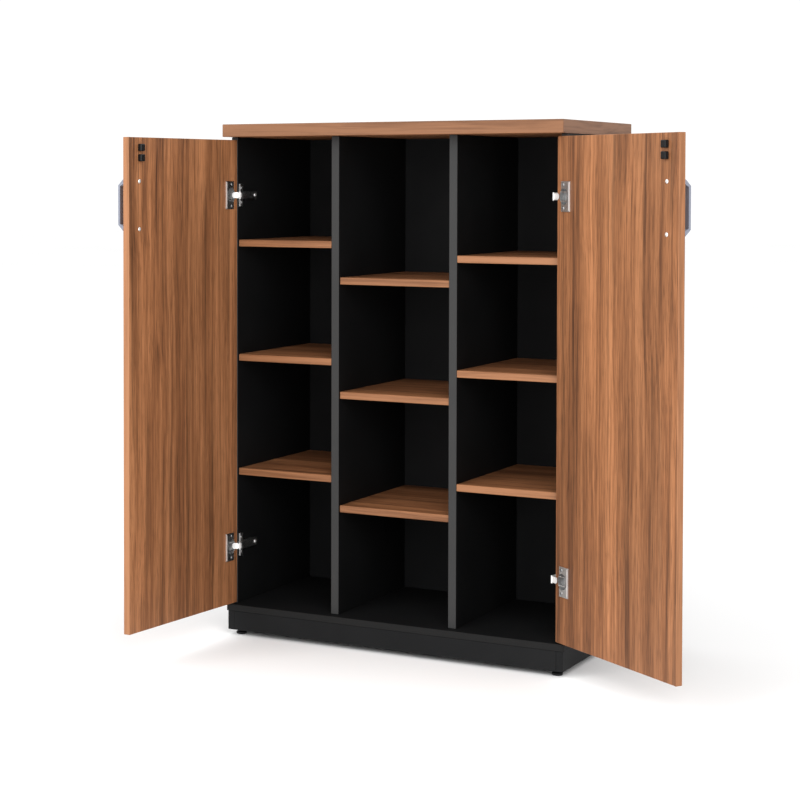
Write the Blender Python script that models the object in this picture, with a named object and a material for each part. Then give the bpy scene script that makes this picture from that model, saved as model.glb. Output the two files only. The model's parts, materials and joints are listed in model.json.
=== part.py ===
"""Two-door cube storage cabinet with twelve pigeonholes in three columns.

Units are metres and +Z is up. The carcass is laid out in its own frame: X runs across
the front from the middle of the cabinet, Y runs back from the top board's front edge,
and Z rises from the floor. The empty "cabinet" carries that frame, and stands where
the whole open cabinet's bounding box is centred over the origin.
"""
import math

import bmesh
import bpy
from mathutils import Matrix, Vector

# ---------------------------------------------------------------- driving dimensions
WIDTH = 0.800                 # top board and bottom panel, side to side
DEPTH = 0.425                 # top board, front to back
FOOT_DROP = 0.0125            # floor to the plinth's underside
PLINTH_HEIGHT = 0.042
BOARD = 0.015                 # sides, back, bottom, shelves, doors and plinth
DIVIDER_BOARD = 0.018
TOP_BOARD = 0.028
INNER_HEIGHT = 1.049          # bottom panel's upper face to the top board's underside
GAP = 0.0003                  # between neighbouring pieces
EDGE = 0.0008                 # rounding of a board's banded edges

BOTTOM_FRONT = 0.020          # bottom panel and doors, behind the top's front edge
SIDE_FRONT = 0.038
DIVIDER_FRONT = 0.043
SIDE_INSET = 0.0025           # side's outer face inside the top's end
PLINTH_INSET = 0.003
REAR_INSET = 0.003
BACK_FRONT = 0.386            # front face of the back panel
DIVIDER_X = 0.1397            # middle of each divider

# upper faces of the shelves, above the floor, from the top down
SHELF_HEIGHTS = {
    "left": (0.8888, 0.6318, 0.3746),
    "middle": (0.8097, 0.5592, 0.3097),
    "right": (0.8629, 0.6201, 0.3783),
}
SHELF_SETBACK = {"left": 0.0, "middle": 0.005, "right": 0.0}
SHELF_SIDE_GAP = 0.0005

# doors
DOOR_EDGE = 0.003             # closed hinge edge, inside the top's end
DOOR_MIDDLE_GAP = 0.002       # between the two closed doors
DOOR_GAP_BELOW = 0.0035
DOOR_GAP_ABOVE = 0.0065
PIVOT_X = 0.3898              # the virtual axis that the hinges turn a door about
PIVOT_Y = 0.0267
OPEN_ANGLE = {"left": 94.65, "right": 145.0}
LINK_RATIO = 0.26             # link's turn for each degree of the door, the other way

# concealed hinges
HINGE_HEIGHTS = {"upper": 0.9890, "lower": 0.2014}
CUP_FROM_EDGE = 0.0245        # cup's centre from the door's hinge edge
CUP_RADIUS = 0.0174
CUP_INNER = 0.0167
CUP_DEPTH = 0.0114
LINK_PIN_X = 0.370
LINK_PIN_Y = 0.0267
LINK_LENGTH = 0.0172
LINK_CLOSED = 175.0           # link's heading with the door closed, from -X round to +Y
ARM_BACK = 0.106
ARM_HALF_HEIGHT = 0.008

# handles
HANDLE_FROM_EDGE = 0.036      # from the door's free edge
HANDLE_HEIGHT = 0.9700
HANDLE_SPACING = 0.100
HANDLE_STANDOFF = 0.036

# feet
FOOT_X = 0.376
FOOT_FRONT = 0.045
FOOT_BACK = 0.385
FOOT_RADIUS = 0.0115

# the carcass frame's place in the part's frame
CABINET_X = -0.12496
CABINET_Y = -0.03179

# ---------------------------------------------------------------- worked-out positions
PLINTH_TOP = FOOT_DROP + PLINTH_HEIGHT
FLOOR_Z = PLINTH_TOP + BOARD
CEILING_Z = FLOOR_Z + INNER_HEIGHT
HEIGHT = CEILING_Z + TOP_BOARD
CARCASS_BACK = DEPTH - REAR_INSET
SIDE_OUT = WIDTH / 2 - SIDE_INSET
SIDE_IN = SIDE_OUT - BOARD
PLINTH_OUT = WIDTH / 2 - PLINTH_INSET
PLINTH_FRONT = BOTTOM_FRONT + 0.001
DOOR_BACK = BOTTOM_FRONT + BOARD
DOOR_LOW = FLOOR_Z + DOOR_GAP_BELOW
DOOR_HIGH = CEILING_Z - DOOR_GAP_ABOVE
DOOR_OUT = WIDTH / 2 - DOOR_EDGE
DOOR_IN = DOOR_MIDDLE_GAP / 2
COLUMNS = {
    "left": (-SIDE_IN, -DIVIDER_X - DIVIDER_BOARD / 2),
    "middle": (-DIVIDER_X + DIVIDER_BOARD / 2, DIVIDER_X - DIVIDER_BOARD / 2),
    "right": (DIVIDER_X + DIVIDER_BOARD / 2, SIDE_IN),
}
SIGN = {"left": -1, "right": 1}


# ---------------------------------------------------------------- materials
def material(name, colour, roughness, metallic=0.0):
    """A Principled material for one sub-part."""
    made = bpy.data.materials.new(name)
    made.use_nodes = True
    shader = made.node_tree.nodes["Principled BSDF"]
    shader.inputs["Base Color"].default_value = (*colour, 1.0)
    shader.inputs["Roughness"].default_value = roughness
    shader.inputs["Metallic"].default_value = metallic
    made.diffuse_color = (*colour, 1.0)
    return made


FINISHES = {
    "walnut": ((0.42, 0.22, 0.11), 0.5, 0.0),
    "black_board": ((0.022, 0.023, 0.025), 0.55, 0.0),
    "nickel": ((0.72, 0.72, 0.72), 0.28, 1.0),
    "dark_nickel": ((0.30, 0.30, 0.31), 0.35, 1.0),
    "handle_grey": ((0.33, 0.34, 0.38), 0.4, 0.6),
    "black_plastic": ((0.02, 0.02, 0.02), 0.45, 0.0),
}


# ---------------------------------------------------------------- modelling helpers
def node(name, mesh_builder, finish, parent, location=(0, 0, 0), smooth=False):
    """Make one named object from a function that fills a bmesh."""
    shape = bmesh.new()
    mesh_builder(shape)
    bmesh.ops.recalc_face_normals(shape, faces=shape.faces)
    mesh = bpy.data.meshes.new(name)
    shape.to_mesh(mesh)
    shape.free()
    made = bpy.data.objects.new(name, mesh)
    bpy.context.collection.objects.link(made)
    if finish:
        mesh.materials.append(material(name, *FINISHES[finish]))
    made.parent = parent
    made.location = location
    if smooth:
        mesh.shade_smooth()
        mesh.set_sharp_from_angle(angle=math.radians(35))
    return made


def empty(name, parent, location, turn=0.0):
    """An empty that carries a frame, turned about Z by so many degrees."""
    made = bpy.data.objects.new(name, None)
    bpy.context.collection.objects.link(made)
    made.parent = parent
    made.location = location
    made.rotation_euler = (0, 0, math.radians(turn))
    return made


def add_box(shape, low, high, rounding=0.0):
    """Add a box between two corners, its edges rounded off if asked."""
    low, high = Vector(low), Vector(high)
    place = Matrix.Translation((low + high) / 2) @ Matrix.Diagonal((*(high - low), 1))
    corners = bmesh.ops.create_cube(shape, size=1, matrix=place)["verts"]
    if rounding:
        edges = list({edge for corner in corners for edge in corner.link_edges})
        bmesh.ops.bevel(shape, geom=edges, offset=rounding, segments=1, affect="EDGES")


def add_rod(shape, start, end, radius, sides=12):
    """Add a closed cylinder from one point to another."""
    start, end = Vector(start), Vector(end)
    along = end - start
    turn = Vector((0, 0, 1)).rotation_difference(along).to_matrix().to_4x4()
    place = Matrix.Translation((start + end) / 2) @ turn
    bmesh.ops.create_cone(shape, cap_ends=True, segments=sides, radius1=radius,
                          radius2=radius, depth=along.length, matrix=place)


def add_turned(shape, profile, centre, sides=20):
    """Add a solid turned about Z; the profile lists (radius, height) upwards."""
    rings = []
    for radius, height in profile:
        ring = []
        for step in range(sides):
            angle = 2 * math.pi * step / sides
            ring.append(shape.verts.new((centre[0] + radius * math.cos(angle),
                                         centre[1] + radius * math.sin(angle),
                                         centre[2] + height)))
        rings.append(ring)
    for lower, upper in zip(rings, rings[1:]):
        for step in range(sides):
            after = (step + 1) % sides
            shape.faces.new((lower[step], lower[after], upper[after], upper[step]))
    shape.faces.new(rings[0])
    shape.faces.new(rings[-1])


def add_prism(shape, outline, low, high, place=lambda a, b, c: (a, b, c)):
    """Add a prism: an outline of (a, b) points between two levels of c."""
    bottom = [shape.verts.new(place(a, b, low)) for a, b in outline]
    top = [shape.verts.new(place(a, b, high)) for a, b in outline]
    shape.faces.new(bottom)
    shape.faces.new(top)
    for step in range(len(outline)):
        after = (step + 1) % len(outline)
        shape.faces.new((bottom[step], bottom[after], top[after], top[step]))


def arc(centre, radius, start, end, steps):
    """Points of an arc, with angles in degrees."""
    points = []
    for step in range(steps + 1):
        angle = math.radians(start + (end - start) * step / steps)
        points.append((centre[0] + radius * math.cos(angle),
                       centre[1] + radius * math.sin(angle)))
    return points


def combine(target, name, mesh_builder, operation="DIFFERENCE"):
    """Cut a shape from the target, or join one to it."""
    tool = node(name, mesh_builder, None, target.parent, target.location)
    tool.display_type = "WIRE"
    tool.hide_render = True
    step = target.modifiers.new(name, "BOOLEAN")
    step.operation = operation
    step.solver = "EXACT"
    step.object = tool
    return tool


def drill(target, name, bores, sides=10):
    """Cut round holes; each bore is (start, end, radius) in the target's frame."""
    def shape_bores(shape):
        for start, end, radius in bores:
            add_rod(shape, start, end, radius, sides)
    combine(target, name, shape_bores)


def uprights():
    """Each upright's name, middle X, thickness, front and back."""
    side_x = (SIDE_OUT + SIDE_IN) / 2
    divider_back = BACK_FRONT - GAP
    return (
        ("left_side_panel", -side_x, BOARD, SIDE_FRONT, CARCASS_BACK),
        ("left_divider", -DIVIDER_X, DIVIDER_BOARD, DIVIDER_FRONT, divider_back),
        ("right_divider", DIVIDER_X, DIVIDER_BOARD, DIVIDER_FRONT, divider_back),
        ("right_side_panel", side_x, BOARD, SIDE_FRONT, CARCASS_BACK),
    )


# ---------------------------------------------------------------- carcass
def make_horizontal_boards(cabinet):
    """The thick top board and the bottom panel that the plinth carries."""
    node("top_board", lambda shape: add_box(
        shape, (-WIDTH / 2, 0, CEILING_Z), (WIDTH / 2, DEPTH, HEIGHT), 0.001),
        "walnut", cabinet)
    node("bottom_panel", lambda shape: add_box(
        shape, (-WIDTH / 2, BOTTOM_FRONT, PLINTH_TOP + GAP),
        (WIDTH / 2, CARCASS_BACK, FLOOR_Z), EDGE), "black_board", cabinet)


def make_uprights(cabinet):
    """The two side panels and the two dividers between the columns."""
    for name, x, thickness, front, back in uprights():
        def shape_board(shape):
            add_box(shape, (x - thickness / 2, front, FLOOR_Z + GAP),
                    (x + thickness / 2, back, CEILING_Z - GAP), EDGE)
        node(name, shape_board, "black_board", cabinet)


def make_back(cabinet):
    """The back panel, set in between the two side panels."""
    node("back_panel", lambda shape: add_box(
        shape, (-SIDE_IN + GAP, BACK_FRONT, FLOOR_Z + GAP),
        (SIDE_IN - GAP, BACK_FRONT + BOARD, CEILING_Z - GAP)), "black_board", cabinet)


def make_shelves(cabinet):
    """Nine shelves, three in each column, at each column's own heights."""
    for column, heights in SHELF_HEIGHTS.items():
        low_x, high_x = COLUMNS[column]
        front = DIVIDER_FRONT + SHELF_SETBACK[column]
        for number, height in enumerate(heights, start=1):
            def shape_shelf(shape):
                add_box(shape, (low_x + SHELF_SIDE_GAP, front, height - BOARD),
                        (high_x - SHELF_SIDE_GAP, BACK_FRONT - GAP, height), EDGE)
            node(f"shelf_{column}_{number}", shape_shelf, "walnut", cabinet)


def make_plinth(cabinet):
    """Four plinth boards: the sides run the full depth, front and back fit between."""
    inner = PLINTH_OUT - BOARD
    boards = {
        "plinth_left": ((-PLINTH_OUT, PLINTH_FRONT), (-inner, CARCASS_BACK - GAP)),
        "plinth_right": ((inner, PLINTH_FRONT), (PLINTH_OUT, CARCASS_BACK - GAP)),
        "plinth_front": ((-inner + GAP, PLINTH_FRONT),
                         (inner - GAP, PLINTH_FRONT + BOARD)),
        "plinth_back": ((-inner + GAP, CARCASS_BACK - BOARD - GAP),
                        (inner - GAP, CARCASS_BACK - GAP)),
    }
    for name, (low, high) in boards.items():
        def shape_board(shape):
            add_box(shape, (*low, FOOT_DROP), (*high, PLINTH_TOP), 0.0005)
        node(name, shape_board, "black_board", cabinet)


# ---------------------------------------------------------------- feet
SOCKET_HALF = 0.0085
SOCKET_REACH = 0.0205          # from the stud's middle towards the cabinet's
SOCKET_BELOW = 0.003
SOCKET_HEIGHT = 0.036
STUD_RADIUS = 0.003
STUD_HEIGHT = 0.034


def make_feet(cabinet):
    """Four levelling feet and the sockets that their studs screw into."""
    places = {}
    for side, sign in SIGN.items():
        places["front_" + side] = (sign * FOOT_X, FOOT_FRONT, 0)
        places["back_" + side] = (sign * FOOT_X, FOOT_BACK, 0)

    glide_top = FOOT_DROP - SOCKET_BELOW - 0.001
    profile = (
        (FOOT_RADIUS - 0.0015, 0.0),
        (FOOT_RADIUS, 0.0015),
        (FOOT_RADIUS, 0.0050),
        (FOOT_RADIUS - 0.0020, 0.0062),
        (0.0055, 0.0066),
        (0.0050, glide_top),
        (STUD_RADIUS, glide_top),
        (STUD_RADIUS, STUD_HEIGHT - 0.001),
        (STUD_RADIUS - 0.001, STUD_HEIGHT),
    )
    for name, place in places.items():
        node("foot_" + name, lambda shape: add_turned(shape, profile, (0, 0, 0), 20),
             "black_plastic", cabinet, place, smooth=True)

    for name, (x, y, _) in places.items():
        outer = math.copysign(PLINTH_OUT - BOARD - GAP, x)
        inner = math.copysign(FOOT_X - SOCKET_REACH, x)

        def shape_socket(shape):
            add_box(shape, (min(outer, inner), y - SOCKET_HALF, FOOT_DROP - SOCKET_BELOW),
                    (max(outer, inner), y + SOCKET_HALF, FOOT_DROP + SOCKET_HEIGHT))
        socket = node("foot_socket_" + name, shape_socket, "black_plastic", cabinet)
        drill(socket, socket.name + "_bore",
              [((x, y, 0), (x, y, STUD_HEIGHT + 0.002), STUD_RADIUS + GAP)], 12)


# ---------------------------------------------------------------- hinges, carcass side
PLATE_THICK = 0.0040
PLATE_WING_THICK = 0.0036
PLATE_WING_Y = 0.0500
PLATE_WING_HALF = 0.0060      # half the wing's width along Y
PLATE_HALF_HEIGHT = 0.0250
PLATE_FRONT = 0.0405
PLATE_BACK = 0.0980
PLATE_RAIL_HALF = 0.0075
SCREW_HEAD_THICK = 0.0012
ARM_THICK = 0.0075
ARM_NOSE_THICK = 0.0022
PIN_EAR_RADIUS = 0.0020
LINK_PIN_RADIUS = 0.0008
ARM_SCREW_RADIUS = 0.0018
ARM_SCREW_HEAD = 0.0036
ARM_SCREW_Y = 0.0960


def make_plate(cabinet, side, level):
    """A cross-shaped mounting plate, screwed to the side panel through its wings."""
    sign, height = SIGN[side], HINGE_HEIGHTS[level]
    base = sign * (SIDE_IN - GAP)
    face = sign * (SIDE_IN - GAP - PLATE_THICK)
    wing_face = sign * (SIDE_IN - GAP - PLATE_WING_THICK)
    wing_low, wing_high = PLATE_WING_Y - PLATE_WING_HALF, PLATE_WING_Y + PLATE_WING_HALF
    outline = (
        (PLATE_FRONT, -PLATE_RAIL_HALF),
        (wing_low, -PLATE_RAIL_HALF),
        (wing_low, -PLATE_HALF_HEIGHT),
        (wing_high, -PLATE_HALF_HEIGHT),
        (wing_high, -PLATE_RAIL_HALF),
        (PLATE_BACK, -PLATE_RAIL_HALF),
        (PLATE_BACK, PLATE_RAIL_HALF),
        (wing_high, PLATE_RAIL_HALF),
        (wing_high, PLATE_HALF_HEIGHT),
        (wing_low, PLATE_HALF_HEIGHT),
        (wing_low, PLATE_RAIL_HALF),
        (PLATE_FRONT, PLATE_RAIL_HALF),
    )

    def shape_cross(shape):
        add_prism(shape, outline, wing_face, base, lambda a, b, c: (c, a, height + b))

    def shape_rail(shape):
        low_x, high_x = sorted((face, base + sign * -0.0005))
        add_box(shape, (low_x, PLATE_FRONT + 0.001, height - PLATE_RAIL_HALF + 0.0005),
                (high_x, PLATE_BACK - 0.001, height + PLATE_RAIL_HALF - 0.0005))
    plate = node(f"{side}_{level}_hinge_plate", shape_cross, "nickel", cabinet)
    combine(plate, plate.name + "_rail", shape_rail, "UNION")


def make_arm(cabinet, side, level):
    """A hinge arm on its plate, forked at the nose round the link's pin."""
    sign, height = SIGN[side], HINGE_HEIGHTS[level]
    seat = SIDE_IN - GAP - PLATE_THICK - GAP
    crown = seat - ARM_THICK
    pin = (LINK_PIN_X, LINK_PIN_Y)
    nose = arc(pin, PIN_EAR_RADIUS, 0, -180, 6)
    outline = [(seat, ARM_BACK), (seat, PLATE_FRONT + 0.003),
               (LINK_PIN_X + PIN_EAR_RADIUS, PLATE_FRONT - 0.003)]
    outline += nose
    outline += [(LINK_PIN_X - PIN_EAR_RADIUS, PLATE_FRONT - 0.001),
                (crown, PLATE_FRONT + 0.004), (crown, ARM_BACK)]

    def shape_arm(shape):
        add_prism(shape, outline, height - ARM_HALF_HEIGHT, height + ARM_HALF_HEIGHT,
                  lambda a, b, c: (sign * a, b, c))

    def shape_slot(shape):
        low_x, high_x = sorted((sign * (seat + 0.004), sign * (crown - 0.004)))
        add_box(shape, (low_x, LINK_PIN_Y - 0.008, height - 0.0052),
                (high_x, LINK_PIN_Y + 0.0055, height + 0.0052))

    def shape_pin(shape):
        add_rod(shape, (sign * pin[0], pin[1], height - ARM_HALF_HEIGHT + 0.001),
                (sign * pin[0], pin[1], height + ARM_HALF_HEIGHT - 0.001),
                LINK_PIN_RADIUS, 10)
    arm = node(f"{side}_{level}_hinge_arm", shape_arm, "nickel", cabinet)
    combine(arm, arm.name + "_slot", shape_slot)
    combine(arm, arm.name + "_pin", shape_pin, "UNION")
    drill(arm, arm.name + "_screw_bore",
          [((sign * (crown - 0.001), ARM_SCREW_Y, height),
            (sign * (crown + 0.004), ARM_SCREW_Y, height), ARM_SCREW_RADIUS + GAP)])

    def shape_screw(shape):
        add_screw(shape, (sign * (crown - GAP), ARM_SCREW_Y, height),
                  Vector((sign, 0, 0)), ARM_SCREW_RADIUS, ARM_SCREW_HEAD, GAP + 0.0035)
    node(f"{side}_{level}_adjusting_screw", shape_screw, "nickel", cabinet)


def add_screw(shape, seat, inward, radius, head, length):
    """Add a screw whose head sits just outside its seat and whose shank runs inward."""
    seat = Vector(seat)
    turn = Vector((0, 0, 1)).rotation_difference(inward).to_matrix().to_4x4()
    start = len(shape.verts)
    add_turned(shape, ((head * 0.8, -SCREW_HEAD_THICK), (head, -SCREW_HEAD_THICK * 0.6),
                       (head, 0.0), (radius, 0.0), (radius, length)), (0, 0, 0), 10)
    shape.verts.ensure_lookup_table()
    bmesh.ops.transform(shape, matrix=Matrix.Translation(seat) @ turn,
                        verts=shape.verts[start:])


# ---------------------------------------------------------------- doors
FLANGE_NEAR = -0.0095         # flange's reach from the cup's centre towards the edge
FLANGE_FAR = 0.0205
FLANGE_HALF_HEIGHT = 0.031
FLANGE_THICK = 0.0014
FLANGE_LIP = 0.0036
FLANGE_LIP_WIDTH = 0.0015
HANDLE_SCREW_RADIUS = 0.0020
HANDLE_SCREW_HEAD = 0.0040
HANDLE_BAR = 0.0050
HANDLE_BAR_WIDTH = 0.0120
HANDLE_LEG_HALF = 0.0540      # half the handle's outer length at the door
HANDLE_GRIP_HALF = 0.0415     # half the straight outer part
CATCH_FROM_FREE_EDGE = 0.038
CATCH_HEIGHTS = {"upper": 1.0905, "lower": 1.0690}
CATCH_SIZE = (0.0150, 0.009, 0.0150)


def door_frame(side):
    """A function that turns closed cabinet coordinates into the door axis's frame."""
    sign = SIGN[side]

    def place(x, y, z):
        return (sign * (x - PIVOT_X), y - PIVOT_Y, z)
    return place


def door_box(shape, place, low, high, rounding=0.0):
    """Add a box given by two corners in closed, unsigned cabinet coordinates."""
    first, second = Vector(place(*low)), Vector(place(*high))
    corner_low = [min(a, b) for a, b in zip(first, second)]
    corner_high = [max(a, b) for a, b in zip(first, second)]
    add_box(shape, corner_low, corner_high, rounding)


def make_door_leaf(axis, side):
    """A door, bored for its hinge cups, cup screws and handle screws."""
    place = door_frame(side)
    door = node(f"{side}_door", lambda shape: door_box(
        shape, place, (DOOR_IN, BOTTOM_FRONT, DOOR_LOW),
        (DOOR_OUT, DOOR_BACK, DOOR_HIGH), EDGE), "walnut", axis)
    cup_x = DOOR_OUT - CUP_FROM_EDGE

    def shape_pockets(shape):
        for height in HINGE_HEIGHTS.values():
            add_rod(shape, place(cup_x, DOOR_BACK + 0.002, height),
                    place(cup_x, DOOR_BACK - CUP_DEPTH - GAP, height),
                    CUP_RADIUS + GAP, 24)
    combine(door, door.name + "_pockets", shape_pockets)
    bores = []
    for offset in (-HANDLE_SPACING / 2, HANDLE_SPACING / 2):
        x = DOOR_IN + HANDLE_FROM_EDGE
        bores.append((place(x, DOOR_BACK + 0.002, HANDLE_HEIGHT + offset),
                      place(x, BOTTOM_FRONT - 0.002, HANDLE_HEIGHT + offset),
                      HANDLE_SCREW_RADIUS + GAP))
    drill(door, door.name + "_bores", bores)


def make_cup(axis, side, level):
    """A hinge cup sunk in the door, with its flange and the flange's far lip."""
    place = door_frame(side)
    height = HINGE_HEIGHTS[level]
    cup_x = DOOR_OUT - CUP_FROM_EDGE
    flange_low = DOOR_BACK + GAP
    flange_high = flange_low + FLANGE_THICK

    def shape_flange(shape):
        door_box(shape, place,
                 (cup_x - FLANGE_FAR, flange_low, height - FLANGE_HALF_HEIGHT),
                 (cup_x - FLANGE_NEAR, flange_high, height + FLANGE_HALF_HEIGHT))

    def shape_body(shape):
        add_rod(shape, place(cup_x, DOOR_BACK - CUP_DEPTH, height),
                place(cup_x, DOOR_BACK + 0.0007, height), CUP_RADIUS, 24)

    def shape_hollow(shape):
        add_rod(shape, place(cup_x, DOOR_BACK - CUP_DEPTH + 0.0007, height),
                place(cup_x, DOOR_BACK + 0.006, height), CUP_INNER, 24)

    def shape_relief(shape):
        door_box(shape, place, (cup_x + 0.0100, DOOR_BACK - 0.0003, height - 0.02),
                 (cup_x + 0.03, DOOR_BACK + 0.004, height + 0.02))

    def shape_lip(shape):
        door_box(shape, place,
                 (cup_x - FLANGE_FAR - 0.0001, flange_low + 0.0002,
                  height - FLANGE_HALF_HEIGHT + 0.002),
                 (cup_x - FLANGE_FAR + FLANGE_LIP_WIDTH, flange_low + FLANGE_LIP,
                  height + FLANGE_HALF_HEIGHT - 0.002))
    cup = node(f"{side}_{level}_hinge_cup", shape_flange, "dark_nickel", axis)
    combine(cup, cup.name + "_body", shape_body, "UNION")
    combine(cup, cup.name + "_hollow", shape_hollow)
    combine(cup, cup.name + "_relief", shape_relief)
    combine(cup, cup.name + "_lip", shape_lip, "UNION")


def make_handle_screws(axis, side):
    """The two screws that hold a handle, with their heads on the door's inner face."""
    place = door_frame(side)
    x = DOOR_IN + HANDLE_FROM_EDGE
    for level, offset in (("upper", HANDLE_SPACING / 2), ("lower", -HANDLE_SPACING / 2)):
        def shape_screw(shape):
            add_screw(shape, place(x, DOOR_BACK + GAP, HANDLE_HEIGHT + offset),
                      Vector((0, -1, 0)), HANDLE_SCREW_RADIUS, HANDLE_SCREW_HEAD,
                      BOARD + 0.010)
        node(f"{side}_{level}_handle_screw", shape_screw, "nickel", axis)


def make_handle(axis, side):
    """A bow handle of flat bar: two legs, two slanted shoulders and a straight grip."""
    place = door_frame(side)
    base = BOTTOM_FRONT - GAP
    shoulder = HANDLE_LEG_HALF - HANDLE_GRIP_HALF
    bar = HANDLE_BAR
    slant = bar * (math.sqrt(2) - 1)
    outer = [(HANDLE_LEG_HALF, 0.0),
             (HANDLE_LEG_HALF, HANDLE_STANDOFF - shoulder),
             (HANDLE_GRIP_HALF, HANDLE_STANDOFF)]
    leg = bar * 1.8
    inner = [(HANDLE_GRIP_HALF - slant, HANDLE_STANDOFF - bar),
             (HANDLE_LEG_HALF - leg, HANDLE_STANDOFF - shoulder - slant),
             (HANDLE_LEG_HALF - leg, 0.0)]
    x = DOOR_IN + HANDLE_FROM_EDGE

    def stand(a, b, c):
        return place(c, base - b, HANDLE_HEIGHT + a)

    def shape_handle(shape):
        add_prism(shape, bow_outline(outer, inner), x - HANDLE_BAR_WIDTH / 2,
                  x + HANDLE_BAR_WIDTH / 2, stand)
    handle = node(f"{side}_handle", shape_handle, "handle_grey", axis)
    bores = [(stand(offset, -0.002, x), stand(offset, 0.0105, x), HANDLE_SCREW_RADIUS + GAP)
             for offset in (-HANDLE_SPACING / 2, HANDLE_SPACING / 2)]
    drill(handle, handle.name + "_bores", bores)


def bow_outline(outer, inner):
    """Close a symmetric bow: up the outside of one half, and back along the inside."""
    outside = [(-a, b) for a, b in outer] + list(reversed(outer))
    inside = list(reversed(inner)) + [(-a, b) for a, b in inner]
    return outside + inside


def make_catches(axis, side):
    """Two small catch blocks on the inner face, near the free edge's upper corner."""
    place = door_frame(side)
    x = DOOR_IN + CATCH_FROM_FREE_EDGE
    width, depth, height = CATCH_SIZE

    for level, z in CATCH_HEIGHTS.items():
        def shape_block(shape):
            door_box(shape, place, (x - width / 2, DOOR_BACK + GAP, z - height / 2),
                     (x + width / 2, DOOR_BACK + GAP + depth, z + height / 2), 0.0015)
        node(f"{side}_{level}_catch_block", shape_block, "black_plastic", axis)


def make_link(cabinet, side, level):
    """The link that turns on the arm's pin and reaches into the door's cup."""
    sign, height = SIGN[side], HINGE_HEIGHTS[level]
    heading = LINK_CLOSED + LINK_RATIO * OPEN_ANGLE[side]
    frame = empty(f"{side}_{level}_link_axis", cabinet,
                  (sign * LINK_PIN_X, LINK_PIN_Y, height),
                  turn=heading if sign < 0 else 180 - heading)

    def shape_strap(shape):
        outline = ((0.0012, -0.0047), (0.0036, -0.0047), (0.0036, -0.0065),
                   (LINK_LENGTH - 0.0030, -0.0065), (LINK_LENGTH, -0.0035),
                   (LINK_LENGTH, 0.0035), (LINK_LENGTH - 0.0030, 0.0065),
                   (0.0036, 0.0065), (0.0036, 0.0047), (0.0012, 0.0047))
        add_prism(shape, outline, -0.0008, 0.0008, lambda a, b, c: (a, c, b))

    def shape_knuckle(shape):
        add_rod(shape, (0, 0, -0.0048), (0, 0, 0.0048), PIN_EAR_RADIUS, 16)

    def shape_bore(shape):
        add_rod(shape, (0, 0, -0.009), (0, 0, 0.009), LINK_PIN_RADIUS + GAP, 12)
    link = node(f"{side}_{level}_hinge_link", shape_strap, "nickel", frame)
    combine(link, link.name + "_knuckle", shape_knuckle, "UNION")
    combine(link, link.name + "_bore", shape_bore)


# ---------------------------------------------------------------- assembly
def main():
    """Clear the scene and build the cabinet."""
    for old in list(bpy.data.objects):
        bpy.data.objects.remove(old, do_unlink=True)
    cabinet = empty("cabinet", None, (CABINET_X, CABINET_Y, 0))
    make_horizontal_boards(cabinet)
    make_uprights(cabinet)
    make_back(cabinet)
    make_shelves(cabinet)
    make_plinth(cabinet)
    make_feet(cabinet)
    for side, sign in SIGN.items():
        axis = empty(f"{side}_door_axis", cabinet, (sign * PIVOT_X, PIVOT_Y, 0),
                     turn=sign * OPEN_ANGLE[side])
        make_door_leaf(axis, side)
        make_handle_screws(axis, side)
        make_handle(axis, side)
        make_catches(axis, side)
        for level in HINGE_HEIGHTS:
            make_plate(cabinet, side, level)
            make_arm(cabinet, side, level)
            make_cup(axis, side, level)
            make_link(cabinet, side, level)


main()
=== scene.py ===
"""Finished looks for the two-door cube storage cabinet.

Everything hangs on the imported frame: the boards and the hardware keep their CAD meshes
and get materials, and the small fasteners that the CAD leaves out are added as pieces.
Positions come from the frame's own boxes and joints, in metres.
"""
import json
import math

import bmesh
import bpy
from mathutils import Matrix, Vector


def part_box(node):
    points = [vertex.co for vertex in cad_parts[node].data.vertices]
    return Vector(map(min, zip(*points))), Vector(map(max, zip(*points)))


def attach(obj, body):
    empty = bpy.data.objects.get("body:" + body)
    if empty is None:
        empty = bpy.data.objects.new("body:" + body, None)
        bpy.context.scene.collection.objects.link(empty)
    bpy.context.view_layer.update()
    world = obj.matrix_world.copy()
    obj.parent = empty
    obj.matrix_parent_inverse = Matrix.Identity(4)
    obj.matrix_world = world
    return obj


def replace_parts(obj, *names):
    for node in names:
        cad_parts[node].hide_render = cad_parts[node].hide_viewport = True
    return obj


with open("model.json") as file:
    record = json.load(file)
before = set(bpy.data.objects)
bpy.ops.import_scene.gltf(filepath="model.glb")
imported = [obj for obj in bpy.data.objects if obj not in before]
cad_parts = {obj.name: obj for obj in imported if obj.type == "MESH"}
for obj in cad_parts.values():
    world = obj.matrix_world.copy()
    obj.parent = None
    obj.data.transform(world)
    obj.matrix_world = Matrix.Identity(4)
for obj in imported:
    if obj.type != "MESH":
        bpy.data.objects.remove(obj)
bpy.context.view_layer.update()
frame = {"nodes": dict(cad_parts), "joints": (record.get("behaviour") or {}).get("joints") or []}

nodes = frame["nodes"]
joints = {joint["name"]: joint for joint in frame["joints"]}
SIDES = {"left": -1, "right": 1}
LEVELS = ("upper", "lower")

# the hinges, in metres
FLANGE_THICK = 0.0014          # the cup screws sit on the flange's face
FLANGE_LIP = 0.0036            # the lip's top, above the flange's underside
LIP_REACH = 0.0020             # the lip's faces, given the painted highlight, are this near the flange's far edge
HOLLOW_BELOW = 0.0010          # the hollow's faces, given painted shade, are further below the underside
EDGE_TO_FORK = 0.0095          # from the cup's hinge-side edge to the fork's origin
FORK_TO_SCREWS = 0.0060        # from there to the cup screws, away from that edge
CUP_SCREW_SPACING = 0.048
FORK_BELOW = 0.0022            # the fork's origin, below the flange's underside
FORK_HALF_THICK = 0.0007
PLATE_WING_THICK = 0.0036      # the plate screws sit on the plate's wings
PLATE_WING_BACK = 0.050        # the wings' middle, behind the top board's front edge
PLATE_SCREW_SPACING = 0.032
HEAD_SUNK = 0.0012             # a new head's seat, in from the end of the old one
SCREW_SIDES = 24

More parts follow.
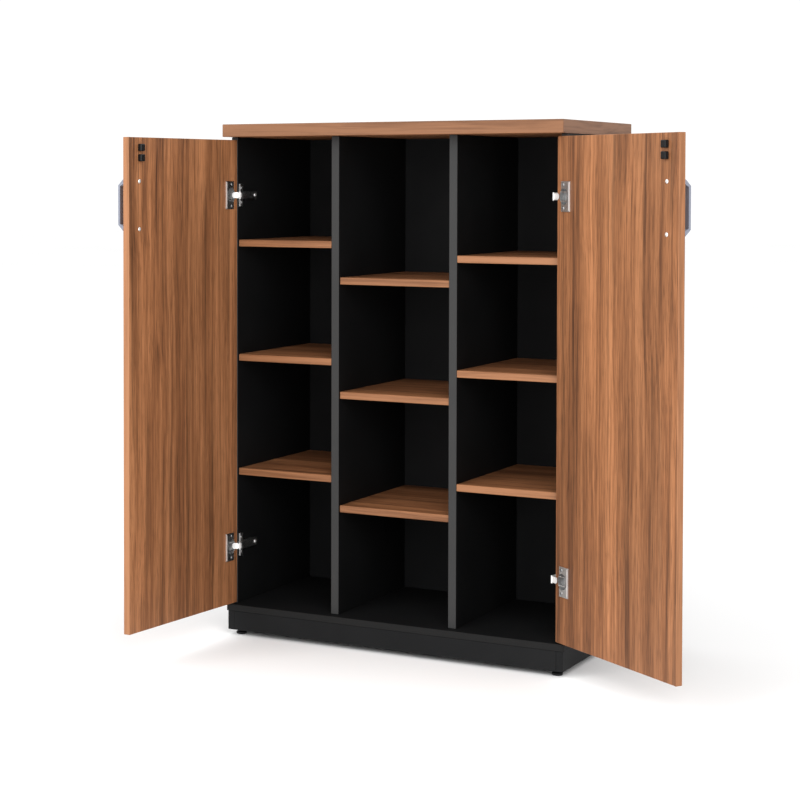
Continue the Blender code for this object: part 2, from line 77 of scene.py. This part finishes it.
# angles in degrees
BEVEL_ANGLE = 40
SMOOTH_ANGLE = 35

GRIT = 700.0                   # the scale of a lacquer's or a plastic's fine grain

top_low, top_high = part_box("top_board")
MIDDLE = (top_low.x + top_high.x) / 2
FRONT = top_low.y


def door_turn(side):
    """The door's turn about Z from shut to rest, in radians."""
    open_by = -math.radians(joints[f"{side}_door_hinge"]["range_deg"][0])
    return SIDES[side] * open_by


def door_place(side):
    """A matrix from the shut door's place to its place at rest."""
    pivot = Vector(joints[f"{side}_door_hinge"]["pos_m"])
    turn = Matrix.Rotation(door_turn(side), 4, "Z")
    return Matrix.Translation(pivot) @ turn @ Matrix.Translation(-pivot)


def shut_corners(name):
    """A door node's vertices, back in the shut door's place."""
    back = door_place(name.split("_")[0]).inverted()
    return [back @ vert.co for vert in nodes[name].data.vertices]


def box_of(corners):
    """The lowest and the highest corner round some points."""
    return (Vector(min(corner[axis] for corner in corners) for axis in range(3)),
            Vector(max(corner[axis] for corner in corners) for axis in range(3)))


# ---------------------------------------------------------------- shader helpers
class Shader:
    """A Principled material, with short ways to add and join nodes."""

    def __init__(self, name):
        self.material = bpy.data.materials.new(name)
        self.material.use_nodes = True
        self.tree = self.material.node_tree
        self.bsdf = self.tree.nodes["Principled BSDF"]

    def add(self, kind, values=None, **settings):
        """Add a node; values maps an input to a number, a colour or a socket."""
        made = self.tree.nodes.new(kind)
        for key, value in settings.items():
            setattr(made, key, value)
        for key, value in (values or {}).items():
            self.put(made.inputs[key], value)
        return made

    def put(self, socket, value):
        """Link a socket to an input, or set the input's value."""
        if isinstance(value, bpy.types.NodeSocket):
            self.tree.links.new(value, socket)
        else:
            socket.default_value = value

    def math(self, operation, *values):
        """The result of a Math node."""
        made = self.add("ShaderNodeMath", operation=operation)
        for socket, value in zip(made.inputs, values):
            self.put(socket, value)
        return made.outputs[0]

    def mix(self, factor, first, second, blend="MIX"):
        """The result of a colour mix."""
        made = self.add("ShaderNodeMix", data_type="RGBA", blend_type=blend)
        self.put(made.inputs[0], factor)
        self.put(made.inputs[6], first)
        self.put(made.inputs[7], second)
        return made.outputs[2]

    def ramp(self, factor, *stops):
        """The result of a colour ramp; each stop is (place, grey or colour)."""
        made = self.add("ShaderNodeValToRGB", {"Fac": factor})
        elements = made.color_ramp.elements
        while len(elements) < len(stops):
            elements.new(0.5)
        for element, (place, colour) in zip(elements, stops):
            element.position = place
            if not isinstance(colour, tuple):
                colour = (colour, colour, colour)
            element.color = (*colour, 1.0)
        return made.outputs[0]

    def noise(self, vector, scale, detail=2.0, rough=0.5):
        """A noise texture's value."""
        made = self.add("ShaderNodeTexNoise", {
            "Vector": vector, "Scale": scale, "Detail": detail, "Roughness": rough})
        return made.outputs[0]

    def place(self, vector, location=(0, 0, 0), turn=0.0, scale=(1, 1, 1)):
        """The vector moved, turned about Z and scaled."""
        made = self.add("ShaderNodeMapping", {
            "Vector": vector, "Location": location, "Rotation": (0, 0, turn),
            "Scale": scale})
        return made.outputs[0]

    def facing(self, vector, axis):
        """How squarely a vector runs along an axis, either way."""
        made = self.add("ShaderNodeVectorMath", operation="DOT_PRODUCT")
        self.put(made.inputs[0], vector)
        self.put(made.inputs[1], axis)
        return self.math("ABSOLUTE", made.outputs["Value"])

    def bump(self, height, strength, distance):
        """Roughen the surface by a height."""
        made = self.add("ShaderNodeBump", {
            "Height": height, "Strength": strength, "Distance": distance})
        self.put(self.bsdf.inputs["Normal"], made.outputs[0])


# ---------------------------------------------------------------- materials
WOOD_DARK = (0.098, 0.038, 0.017)
WOOD_MID = (0.226, 0.092, 0.038)
WOOD_LIGHT = (0.375, 0.165, 0.073)
WOOD_BAND = (0.325, 0.143, 0.064)


def walnut(name, along, offset, turn=0.0, face="Z",
           band_tone_and_painted_shade=1.0, end_painted_shade=1.0):
    """Walnut melamine: streaks along one axis of the board, paler edge banding.

    along is the grain's axis and face the faces' axis, both in the shut cabinet; turn
    is how far the board has turned about Z since. The band shades darken the banding,
    partly to set its tone and partly as painted shade, darker on the top than on the
    shelves; the end shade is painted shade on the banding of the short ends.
    """
    made = Shader(name)
    spot = made.add("ShaderNodeTexCoord").outputs
    flat = made.place(spot["Object"], turn=-turn)
    normal = made.place(spot["Normal"], turn=-turn)
    axes = {"X": (1, 0, 0), "Y": (0, 1, 0), "Z": (0, 0, 1)}
    is_face = made.math("GREATER_THAN", made.facing(normal, axes[face]), 0.75)
    is_end = made.math("GREATER_THAN", made.facing(normal, axes[along]), 0.75)
    other = "X" if along == "Z" else "Y"

    # bend the grain a little, so that its lines wander and open into flames
    bend = made.noise(made.place(flat, (3, 1, 2), 0.0, squeeze(along, 0.45)), 3.2, 2.0)
    warp = made.add("ShaderNodeVectorMath", operation="MULTIPLY_ADD")
    made.put(warp.inputs[0], bend)
    made.put(warp.inputs[1], (0.034, 0.034, 0.034))
    made.put(warp.inputs[2], flat)
    flowing = warp.outputs[0]

    def stretched(amount, shift):
        start = tuple(a + b for a, b in zip(offset, shift))
        return made.mix(is_end, made.place(flowing, start, 0.0, squeeze(along, amount)),
                        made.place(flowing, start, 0.0, squeeze(other, amount)))

    broad = made.noise(stretched(0.014, (0, 0, 0)), 24.0, 3.0, 0.55)
    streaks = made.noise(stretched(0.014, (7, 5, 9)), 120.0, 4.0, 0.62)
    fine = made.noise(stretched(0.022, (4, 2, 6)), 360.0, 3.0, 0.6)
    veins = made.noise(stretched(0.010, (1, 8, 4)), 88.0, 2.5, 0.5)
    patches = made.noise(stretched(0.10, (6, 4, 1)), 9.0, 2.0, 0.5)
    pores = made.noise(stretched(0.035, (2, 6, 3)), 640.0, 2.0, 0.5)
    tone = made.math("ADD", made.math("MULTIPLY", broad, 0.38),
                     made.math("ADD", made.math("MULTIPLY", streaks, 0.38),
                               made.math("MULTIPLY", fine, 0.24)))
    colour = made.ramp(tone, (0.37, WOOD_DARK), (0.48, WOOD_MID), (0.60, WOOD_LIGHT))
    vein = made.ramp(veins, (0.33, (0.36, 0.37, 0.40)), (0.43, (1.0, 1.0, 1.0)))
    colour = made.mix(0.60, colour, vein, "MULTIPLY")
    pore = made.ramp(pores, (0.36, 0.50), (0.47, 1.0))
    colour = made.mix(0.65, colour, pore, "MULTIPLY")
    patch = made.ramp(patches, (0.36, (0.86, 0.84, 0.82)), (0.60, (1.14, 1.12, 1.10)))
    colour = made.mix(1.0, colour, patch, "MULTIPLY")
    band = made.ramp(tone, (0.40, tuple(0.80 * part for part in WOOD_MID)),
                     (0.54, WOOD_BAND))
    # painted shade: the banding darkened per board, and further on the short ends
    painted_light_and_shade = made.mix(is_end, (band_tone_and_painted_shade,) * 3 + (1.0,), (end_painted_shade,) * 3 + (1.0,))
    band = made.mix(1.0, band, painted_light_and_shade, "MULTIPLY")
    colour = made.mix(is_face, band, colour)
    made.put(made.bsdf.inputs["Base Color"], colour)
    made.put(made.bsdf.inputs["Roughness"], made.ramp(tone, (0.35, 0.56), (0.6, 0.46)))
    made.bsdf.inputs["Specular IOR Level"].default_value = 0.25
    made.bump(made.math("MULTIPLY", streaks, pore), 0.25, 0.0004)
    return made.material


def squeeze(axis, amount):
    """A scale that stretches a pattern along one axis."""
    return tuple(amount if axis == letter else 1.0 for letter in "XYZ")


def black_melamine(name, edge_grey, edges=True, painted_light_and_shade=1.0):
    """Finely textured black board; its banded front edges are a little greyer. A scale brightens
    or darkens its faces as painted light and shade.
    """
    made = Shader(name)
    spot = made.add("ShaderNodeTexCoord").outputs
    texture = made.noise(spot["Object"], 900.0, 3.0, 0.6)
    cloud = made.noise(spot["Object"], 7.0, 2.0)
    # painted light and shade: the faces' colour is scaled for each copy of this one board
    low = tuple(painted_light_and_shade * part for part in (0.0095, 0.0097, 0.0102))
    high = tuple(painted_light_and_shade * part for part in (0.0125, 0.0128, 0.0133))
    face = made.ramp(cloud, (0.3, low), (0.7, high))
    colour = face
    if edges:
        is_edge = made.math("GREATER_THAN", made.facing(spot["Normal"], (0, 1, 0)), 0.6)
        band = made.ramp(cloud, (0.3, edge_grey * 0.92), (0.7, edge_grey))
        colour = made.mix(is_edge, face, band)
    grain = made.ramp(texture, (0.35, 0.82), (0.65, 1.0))
    colour = made.mix(1.0, colour, grain, "MULTIPLY")
    made.put(made.bsdf.inputs["Base Color"], colour)
    made.put(made.bsdf.inputs["Roughness"], made.ramp(texture, (0.3, 0.62), (0.7, 0.5)))
    made.bsdf.inputs["Specular IOR Level"].default_value = 0.07
    made.bump(texture, 0.35, 0.0002)
    return made.material


def metal(name, colour, rough, stretch=(1, 1, 1), metallic=1.0):
    """Plated or brushed metal with fine variation in its sheen."""
    made = Shader(name)
    spot = made.add("ShaderNodeTexCoord").outputs["Object"]
    fine = made.noise(made.place(spot, scale=stretch), 850.0, 3.0, 0.6)
    broad = made.noise(spot, 60.0, 2.0)
    darker = tuple(part * 0.86 for part in colour)
    made.put(made.bsdf.inputs["Base Color"],
             made.ramp(broad, (0.35, darker), (0.65, colour)))
    made.put(made.bsdf.inputs["Roughness"],
             made.ramp(fine, (0.3, rough * 0.8), (0.7, rough * 1.25)))
    made.bsdf.inputs["Metallic"].default_value = metallic
    made.bump(fine, 0.12, 0.0001)
    return made.material


def coated(name, colour, rough, metallic, level=0.4):
    """Lacquer or moulded plastic with a fine grain."""
    made = Shader(name)
    spot = made.add("ShaderNodeTexCoord").outputs["Object"]
    fine = made.noise(spot, GRIT, 3.0, 0.6)
    darker = tuple(part * 0.82 for part in colour)
    made.put(made.bsdf.inputs["Base Color"],
             made.ramp(fine, (0.35, darker), (0.65, colour)))
    made.put(made.bsdf.inputs["Roughness"],
             made.ramp(fine, (0.3, rough * 0.9), (0.7, rough * 1.15)))
    made.bsdf.inputs["Metallic"].default_value = metallic
    made.bsdf.inputs["Specular IOR Level"].default_value = level
    made.bump(fine, 0.2, 0.0001)
    return made.material


def finish(name, material):
    """Give a CAD node its material."""
    mesh = nodes[name].data
    mesh.materials.clear()
    mesh.materials.append(material)
    for face in mesh.polygons:
        face.material_index = 0


# the banding's shades: partly its tone, partly painted shade, the top darker than the shelves
finish("top_board", walnut("walnut_top", "X", (0.3, 0.9, 0.1),
                           band_tone_and_painted_shade=0.62, end_painted_shade=0.55))
for index, name in enumerate(sorted(n for n in nodes if n.startswith("shelf_"))):
    offset = (0.37 * index, 0.71 * index + 2, 0.53 * index)
    finish(name, walnut("walnut_" + name, "X", offset, band_tone_and_painted_shade=0.84))
for side, offset in (("left", (5.2, 1.1, 0.4)), ("right", (8.7, 3.3, 1.9))):
    finish(f"{side}_door", walnut(f"walnut_{side}_door", "Z", offset,
                                  door_turn(side), "Y"))

# one black board in lit and shaded copies: bottom panel and walls darker as painted shade, back
# panel lighter as painted light
melamine = black_melamine("black_melamine", 0.0145, painted_light_and_shade=0.7)
back_melamine = black_melamine("black_melamine_back_painted_light", 0.0, edges=False, painted_light_and_shade=1.3)
banded = black_melamine("black_melamine_banded_painted_shade", 0.043, painted_light_and_shade=0.5)
plain = black_melamine("black_melamine_plinth", 0.0, edges=False)
nickel = metal("nickel_plate", (0.88, 0.88, 0.87), 0.28)
# a whiter, partly non-metallic copy of the nickel: painted highlight on the links, the cups'
# lips and the front faces
nickel_painted_highlight = metal("nickel_painted_highlight", (0.93, 0.93, 0.92), 0.40, metallic=0.7)
screw_nickel = metal("screw_nickel", (0.93, 0.93, 0.92), 0.42, metallic=0.85)
# darker copies of the nickel as painted shade: on the cup and plate screws, and on the cups
dull_nickel = metal("dull_nickel", (0.34, 0.34, 0.34), 0.40)
cup_nickel = metal("cup_nickel", (0.64, 0.64, 0.63), 0.34, (1, 1, 0.2))
cup_dark = metal("cup_dark", (0.40, 0.40, 0.40), 0.45)
grey_lacquer = coated("grey_lacquer", (0.235, 0.25, 0.305), 0.42, 0.25)
plastic = coated("black_plastic", (0.006, 0.006, 0.0065), 0.42, 0.0, level=0.2)

for name in nodes:
    if name.startswith("plinth_"):
        finish(name, plain)
    elif name == "back_panel":
        finish(name, back_melamine)
    elif name == "bottom_panel":
        finish(name, melamine)
    elif name.endswith(("side_panel", "divider")):
        finish(name, banded)
    # painted highlight: the links in the whiter nickel
    elif name.endswith("hinge_link"):
        finish(name, nickel_painted_highlight)
    elif name.endswith(("hinge_arm", "hinge_plate")):
        finish(name, nickel)
    # painted shade: the cups in a darker nickel
    elif name.endswith("hinge_cup"):
        finish(name, cup_nickel)
    elif name.endswith("screw"):
        finish(name, screw_nickel)
    elif name in ("left_handle", "right_handle"):
        finish(name, grey_lacquer)
    elif name.startswith("foot_") or name.endswith("catch_block"):
        finish(name, plastic)


def line_cup(side, level):
    """Give a cup a painted highlight on its lip, and painted shade in the hollow where its works
    sit.
    """
    name = f"{side}_{level}_hinge_cup"
    mesh = nodes[name].data
    corners = shut_corners(name)
    far = min(SIDES[side] * corner.x for corner in corners)
    top = max(corner.y for corner in corners)
    mesh.materials.append(nickel_painted_highlight)
    mesh.materials.append(cup_dark)
    for polygon in mesh.polygons:
        spots = [corners[index] for index in polygon.vertices]
        middle = sum(spots, Vector()) / len(spots)
        # painted highlight on the lip
        if max(SIDES[side] * spot.x for spot in spots) < far + LIP_REACH:
            polygon.material_index = 1
        # painted shade in the hollow
        elif middle.y < top - FLANGE_LIP - HOLLOW_BELOW:
            polygon.material_index = 2


def paint_front_highlight(name):
    """Give a plate's or an arm's front-facing faces a painted highlight in the whiter nickel."""
    mesh = nodes[name].data
    mesh.materials.append(nickel_painted_highlight)
    for polygon in mesh.polygons:
        # painted highlight on the faces turned to the front
        if polygon.normal.y < -0.5:
            polygon.material_index = 1


for side in SIDES:
    for level in LEVELS:
        line_cup(side, level)
        paint_front_highlight(f"{side}_{level}_hinge_plate")
        paint_front_highlight(f"{side}_{level}_hinge_arm")


def soften(name, width, segments=2):
    """Round a CAD node's sharp edges."""
    step = nodes[name].modifiers.new("soft_edges", "BEVEL")
    step.width = width
    step.segments = segments
    step.limit_method = "ANGLE"
    step.angle_limit = math.radians(BEVEL_ANGLE)


for side in SIDES:
    soften(f"{side}_handle", 0.0011, 3)
    for level in LEVELS:
        soften(f"{side}_{level}_hinge_arm", 0.0004)
        soften(f"{side}_{level}_hinge_plate", 0.0003)
        soften(f"{side}_{level}_catch_block", 0.0005)


# ---------------------------------------------------------------- fasteners
def turned(profile):
    """A closed mesh turned about Z; the profile lists (radius, height) upwards."""
    shape = bmesh.new()
    rings = []
    for radius, height in profile:
        ring = []
        for step in range(SCREW_SIDES):
            angle = 2 * math.pi * step / SCREW_SIDES
            ring.append(shape.verts.new((radius * math.cos(angle),
                                         radius * math.sin(angle), height)))
        rings.append(ring)
    for lower, upper in zip(rings, rings[1:]):
        for step in range(SCREW_SIDES):
            after = (step + 1) % SCREW_SIDES
            shape.faces.new((lower[step], lower[after], upper[after], upper[step]))
    shape.faces.new(list(reversed(rings[0])))
    shape.faces.new(rings[-1])
    return shape


def cross_recess(shape, reach, width, top, depth):
    """Press a cross into the flat crown of a turned head."""
    crown = max(shape.faces, key=lambda face: face.calc_center_median().z)
    bmesh.ops.delete(shape, geom=[crown], context="FACES_ONLY")
    rim = {vert for edge in shape.edges if edge.is_boundary for vert in edge.verts}
    half = width / 2
    quarter = [(reach, -half), (reach, half), (half, half)]
    outline = []
    for turn in range(4):
        cos, sin = ((1, 0), (0, 1), (-1, 0), (0, -1))[turn]
        outline += [(x * cos - y * sin, x * sin + y * cos) for x, y in quarter]
    upper = [shape.verts.new((x, y, top)) for x, y in outline]
    lower = [shape.verts.new((x * 0.8, y * 0.8, top - depth)) for x, y in outline]
    count = len(outline)
    for step in range(count):
        after = (step + 1) % count
        shape.faces.new((upper[step], upper[after], lower[after], lower[step]))
    shape.faces.new(lower)
    ring = [shape.edges.get((upper[i], upper[(i + 1) % count])) for i in range(count)]
    outer = [edge for edge in shape.edges
             if edge.is_boundary and edge.verts[0] in rim and edge.verts[1] in rim]
    bmesh.ops.bridge_loops(shape, edges=ring + outer)
    bmesh.ops.recalc_face_normals(shape, faces=shape.faces)


def mesh_from(shape, name):
    """A mesh from a bmesh, shaded smooth across soft edges."""
    mesh = bpy.data.meshes.new(name)
    shape.to_mesh(mesh)
    shape.free()
    mesh.shade_smooth()
    mesh.set_sharp_from_angle(angle=math.radians(SMOOTH_ANGLE))
    return mesh


def screw_mesh(name, head, height, shank, length):
    """A cross-head screw whose seat is at Z = 0, its head above and its shank below."""
    profile = [(shank * 0.6, -length), (shank, -length + 0.001), (shank, 0.0),
               (head, 0.0), (head, height * 0.35), (head * 0.9, height * 0.72),
               (head * 0.68, height * 0.95), (head * 0.6, height)]
    shape = turned(profile)
    cross_recess(shape, head * 0.46, head * 0.17, height, height * 0.7)
    return mesh_from(shape, name)


def piece(name, mesh, place, body, material):
    """A visual piece in its place, riding on a body."""
    made = bpy.data.objects.new(name, mesh)
    bpy.context.scene.collection.objects.link(made)
    made.matrix_world = place
    if not mesh.materials:
        mesh.materials.append(material)
    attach(made, body)
    return made


def aimed(spot, out):
    """A matrix that puts Z = 0 at a spot, with Z pointing out."""
    turn = Vector((0, 0, 1)).rotation_difference(Vector(out)).to_matrix().to_4x4()
    return Matrix.Translation(Vector(spot)) @ turn


cup_screw = screw_mesh("cup_screw", 0.0036, 0.0013, 0.0017, 0.008)
plate_screw = screw_mesh("plate_screw", 0.0036, 0.0014, 0.0018, 0.006)
handle_screw = screw_mesh("handle_screw", 0.0042, 0.0016, 0.0019, 0.024)
adjusting_screw = screw_mesh("adjusting_screw", 0.0036, 0.0013, 0.0017, 0.0034)

for side, sign in SIDES.items():
    carried = door_place(side)
    for level in LEVELS:
        low, high = box_of(shut_corners(f"{side}_{level}_hinge_cup"))
        face = high.y - (FLANGE_LIP - FLANGE_THICK)
        height = (low.z + high.z) / 2
        near = high.x if sign > 0 else low.x
        x = near - sign * (EDGE_TO_FORK + FORK_TO_SCREWS)
        for number, lift in enumerate((0.5, -0.5), start=1):
            spot = (x, face, height + lift * CUP_SCREW_SPACING)
            piece(f"{side}_{level}_cup_screw_{number}", cup_screw,
                  carried @ aimed(spot, (0, 1, 0)), f"{side}_door",
                  dull_nickel)

        plate_low, plate_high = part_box(f"{side}_{level}_hinge_plate")
        wall = plate_high.x if sign > 0 else plate_low.x
        wing_y = FRONT + PLATE_WING_BACK
        for number, lift in enumerate((0.5, -0.5), start=1):
            spot = (wall - sign * PLATE_WING_THICK, wing_y,
                    height + lift * PLATE_SCREW_SPACING)
            piece(f"{side}_{level}_plate_screw_{number}", plate_screw,
                  aimed(spot, (-sign, 0, 0)), "carcass", dull_nickel)

        name = f"{side}_{level}_adjusting_screw"
        low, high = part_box(name)
        seat = (low.x + HEAD_SUNK) if sign > 0 else (high.x - HEAD_SUNK)
        spot = (seat, (low.y + high.y) / 2, (low.z + high.z) / 2)
        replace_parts(piece(name + "_head", adjusting_screw, aimed(spot, (-sign, 0, 0)),
                          "carcass", screw_nickel), name)

        name = f"{side}_{level}_handle_screw"
        low, high = box_of(shut_corners(name))
        spot = ((low.x + high.x) / 2, high.y - HEAD_SUNK, (low.z + high.z) / 2)
        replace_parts(piece(name + "_turned", handle_screw,
                          carried @ aimed(spot, (0, 1, 0)), f"{side}_door",
                          screw_nickel), name)


def fork_mesh(name):
    """A flat U of sprung strip, its mouth towards +X, round the origin."""
    shape = bmesh.new()
    outline = [(0.0113, 0.0084), (0.0113, 0.0100), (-0.0136, 0.0100), (-0.0152, 0.0080)]
    outer = outline[1:] + [(x, -y) for x, y in reversed(outline[1:])]
    inner = [(0.0113, -0.0084), (-0.0130, -0.0084), (-0.0138, -0.0074),
             (-0.0138, 0.0074), (-0.0130, 0.0084), (0.0113, 0.0084)]
    ring = outer + inner
    low = [shape.verts.new((x, y, -FORK_HALF_THICK)) for x, y in ring]
    high = [shape.verts.new((x, y, FORK_HALF_THICK)) for x, y in ring]
    shape.faces.new(list(reversed(low)))
    shape.faces.new(high)
    for step in range(len(ring)):
        after = (step + 1) % len(ring)
        shape.faces.new((low[step], low[after], high[after], high[step]))
    bmesh.ops.recalc_face_normals(shape, faces=shape.faces)
    return mesh_from(shape, name)


for side, sign in SIDES.items():
    carried = door_place(side)
    fork = fork_mesh(f"{side}_hinge_fork")
    for level in LEVELS:
        low, high = box_of(shut_corners(f"{side}_{level}_hinge_cup"))
        near = high.x if sign > 0 else low.x
        spot = (near - sign * EDGE_TO_FORK, high.y - FLANGE_LIP - FORK_BELOW,
                (low.z + high.z) / 2)
        turn = Matrix(((sign, 0, 0, 0), (0, 0, sign, 0), (0, 1, 0, 0), (0, 0, 0, 1)))
        piece(f"{side}_{level}_hinge_fork", fork,
              carried @ Matrix.Translation(spot) @ turn, f"{side}_door", nickel)


# ---------------------------------------------------------------- floor, light, camera
def studio_floor():
    """A plain pale floor."""
    mesh = bpy.data.meshes.new("studio_floor")
    reach = 30.0
    mesh.from_pydata([(-reach, -reach, 0), (reach, -reach, 0), (reach, reach, 0),
                      (-reach, reach, 0)], [], [(0, 1, 2, 3)])
    floor = bpy.data.objects.new("studio_floor", mesh)
    bpy.context.scene.collection.objects.link(floor)
    made = Shader("studio_floor")
    spot = made.add("ShaderNodeTexCoord").outputs["Object"]
    cloud = made.noise(spot, 0.6, 2.0)
    made.put(made.bsdf.inputs["Base Color"], made.ramp(cloud, (0.3, 0.93), (0.7, 0.95)))
    made.bsdf.inputs["Roughness"].default_value = 0.9
    made.bsdf.inputs["Specular IOR Level"].default_value = 0.0
    mesh.materials.append(made.material)


def soft_light(name, spot, aim, size, power):
    """A square area light aimed at a point."""
    data = bpy.data.lights.new(name, "AREA")
    data.shape = "SQUARE"
    data.size = size
    data.energy = power
    lamp = bpy.data.objects.new(name, data)
    bpy.context.scene.collection.objects.link(lamp)
    lamp.location = spot
    lamp.visible_camera = False
    lamp.rotation_euler = (Vector(aim) - Vector(spot)).to_track_quat("-Z", "Y").to_euler()


studio_floor()
world = bpy.data.worlds.new("studio")
world.use_nodes = True
background = world.node_tree.nodes["Background"]
background.inputs["Color"].default_value = (1.0, 1.0, 1.0, 1.0)
background.inputs["Strength"].default_value = 1.07
bpy.context.scene.world = world
bpy.context.scene.view_settings.view_transform = "Standard"
centre = (MIDDLE, FRONT + 0.2, 0.6)
soft_light("key", (MIDDLE - 1.6, FRONT - 3.6, 2.4), centre, 3.0, 105.0)
soft_light("side", (MIDDLE + 2.1, FRONT - 2.6, 1.7), (MIDDLE - 0.4, FRONT, 0.6), 1.8, 72.0)

CAMERA_SIDE = 1.8165           # from the cabinet's middle
CAMERA_AHEAD = 3.7858          # in front of the top board's front edge
CAMERA_HEIGHT = 1.0213
CAMERA_TURN = 29.821           # degrees about Z
CAMERA_TILT = 88.284           # degrees about X; 90 looks level
CAMERA_LENS = 88.55            # in millimetres
CAMERA_SHIFT = (0.1995, -0.2005)

camera_data = bpy.data.cameras.new("camera")
camera_data.sensor_width = 36.0
camera_data.lens = CAMERA_LENS
camera_data.shift_x, camera_data.shift_y = CAMERA_SHIFT
camera = bpy.data.objects.new("camera", camera_data)
bpy.context.scene.collection.objects.link(camera)
camera.location = (MIDDLE + CAMERA_SIDE, FRONT - CAMERA_AHEAD, CAMERA_HEIGHT)
camera.rotation_euler = (math.radians(CAMERA_TILT), 0, math.radians(CAMERA_TURN))
bpy.context.scene.camera = camera
